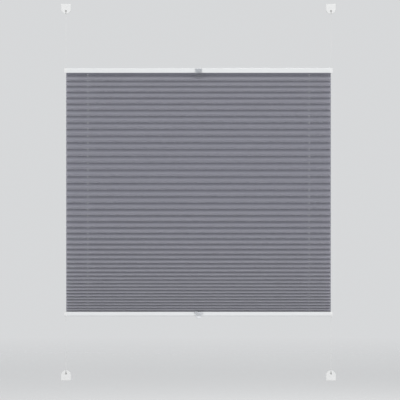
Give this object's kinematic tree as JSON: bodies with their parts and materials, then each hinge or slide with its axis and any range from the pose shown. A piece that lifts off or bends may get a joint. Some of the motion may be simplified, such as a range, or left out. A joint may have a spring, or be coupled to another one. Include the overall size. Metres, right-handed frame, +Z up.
{
  "type": "pleated blind",
  "caption": "Grey pleated window blind between two sliding white rails on taut cords, held by clamps that grip the window sash without drilling.",
  "frame": {"origin": "centre of the blind's bounding box, which is midway between the upper and the lower clamps and between the two cords", "axes": "+Z up, +X to the right as seen from the room, -Y towards the room and +Y towards the window"},
  "size_m": [0.8204, 0.0462, 1.123],
  "materials": {
    "white_aluminium": "fine satin powder coat, white",
    "white_plastic": "moulded, white, soft satin",
    "clear_plastic": "clear, slightly smoky, glossy",
    "cloth_grey": "pleated polyester weave, blue grey, matt",
    "cord_white": "braided polyester, white",
    "strip_plastic": "extruded, off-white",
    "white_steel": "white stove enamel",
    "zinc_steel": "bright zinc plate",
    "pad_rubber": "grey, soft, matt"
  },
  "bodies": {
    "root": {"pleated_cloth": "cloth_grey", "left_cord": "cord_white", "right_cord": "cord_white", "upper_left_tension_shoe": "white_plastic", "upper_left_cord_bead": "cord_white", "upper_left_clamp_bracket": "white_steel", "upper_left_face_pad": "pad_rubber", "upper_right_tension_shoe": "white_plastic", "upper_right_cord_bead": "cord_white", "upper_right_clamp_bracket": "white_steel", "upper_right_face_pad": "pad_rubber", "lower_left_tension_shoe": "white_plastic", "lower_left_cord_bead": "cord_white", "lower_left_clamp_bracket": "white_steel", "lower_left_face_pad": "pad_rubber", "lower_right_tension_shoe": "white_plastic", "lower_right_cord_bead": "cord_white", "lower_right_clamp_bracket": "white_steel", "lower_right_face_pad": "pad_rubber"},
    "top_rail_assembly": {"top_rail": "white_aluminium", "top_cloth_strip": "strip_plastic", "top_grip": "clear_plastic", "top_left_end_cap": "white_plastic", "top_right_end_cap": "white_plastic", "top_left_cord_guide": "strip_plastic", "top_right_cord_guide": "strip_plastic"},
    "bottom_rail_assembly": {"bottom_rail": "white_aluminium", "bottom_cloth_strip": "strip_plastic", "bottom_grip": "clear_plastic", "bottom_left_end_cap": "white_plastic", "bottom_right_end_cap": "white_plastic", "bottom_left_cord_guide": "strip_plastic", "bottom_right_cord_guide": "strip_plastic"},
    "upper_left_hook": {"upper_left_clamp_hook": "white_steel", "upper_left_hook_pad": "pad_rubber"},
    "upper_left_screw": {"upper_left_clamp_screw": "zinc_steel", "upper_left_retaining_ring": "zinc_steel"},
    "upper_right_hook": {"upper_right_clamp_hook": "white_steel", "upper_right_hook_pad": "pad_rubber"},
    "upper_right_screw": {"upper_right_clamp_screw": "zinc_steel", "upper_right_retaining_ring": "zinc_steel"},
    "lower_left_hook": {"lower_left_clamp_hook": "white_steel", "lower_left_hook_pad": "pad_rubber"},
    "lower_left_screw": {"lower_left_clamp_screw": "zinc_steel", "lower_left_retaining_ring": "zinc_steel"},
    "lower_right_hook": {"lower_right_clamp_hook": "white_steel", "lower_right_hook_pad": "pad_rubber"},
    "lower_right_screw": {"lower_right_clamp_screw": "zinc_steel", "lower_right_retaining_ring": "zinc_steel"}
  },
  "joints": [
    {"name": "top_rail_slide", "type": "slide", "parent": "root", "child": "top_rail_assembly", "axis": [0, 0, 1], "range_m": [-0.33, 0.156], "deforming": ["pleated_cloth", "left_cord", "right_cord"]},
    {"name": "bottom_rail_slide", "type": "slide", "parent": "root", "child": "bottom_rail_assembly", "axis": [0, 0, 1], "range_m": [-0.156, 0.33], "deforming": ["pleated_cloth", "left_cord", "right_cord"]},
    {"name": "upper_left_screw_turn", "type": "hinge", "parent": "root", "child": "upper_left_screw", "pos_m": [-0.3952, 0.0028, 0.5556], "axis": [0, 1, 0], "range_deg": [-3960.1, 3240.1]},
    {"name": "upper_left_hook_slide", "type": "slide", "parent": "root", "child": "upper_left_hook", "axis": [0, -1, 0], "range_m": [-0.0055, 0.0045]},
    {"name": "upper_right_screw_turn", "type": "hinge", "parent": "root", "child": "upper_right_screw", "pos_m": [0.3952, 0.0028, 0.5556], "axis": [0, 1, 0], "range_deg": [-3960.1, 3240.1]},
    {"name": "upper_right_hook_slide", "type": "slide", "parent": "root", "child": "upper_right_hook", "axis": [0, -1, 0], "range_m": [-0.0055, 0.0045]},
    {"name": "lower_left_screw_turn", "type": "hinge", "parent": "root", "child": "lower_left_screw", "pos_m": [-0.3952, 0.0028, -0.5556], "axis": [0, 1, 0], "range_deg": [-3960.1, 3240.1]},
    {"name": "lower_left_hook_slide", "type": "slide", "parent": "root", "child": "lower_left_hook", "axis": [0, -1, 0], "range_m": [-0.0055, 0.0045]},
    {"name": "lower_right_screw_turn", "type": "hinge", "parent": "root", "child": "lower_right_screw", "pos_m": [0.3952, 0.0028, -0.5556], "axis": [0, 1, 0], "range_deg": [-3960.1, 3240.1]},
    {"name": "lower_right_hook_slide", "type": "slide", "parent": "root", "child": "lower_right_hook", "axis": [0, -1, 0], "range_m": [-0.0055, 0.0045]}
  ],
  "couplings": [
    {"joint": "upper_left_screw_turn", "follows": "upper_left_hook_slide", "rad_per_m": 12566},
    {"joint": "upper_right_screw_turn", "follows": "upper_right_hook_slide", "rad_per_m": 12566},
    {"joint": "lower_left_screw_turn", "follows": "lower_left_hook_slide", "rad_per_m": 12566},
    {"joint": "lower_right_screw_turn", "follows": "lower_right_hook_slide", "rad_per_m": 12566}
  ]
}
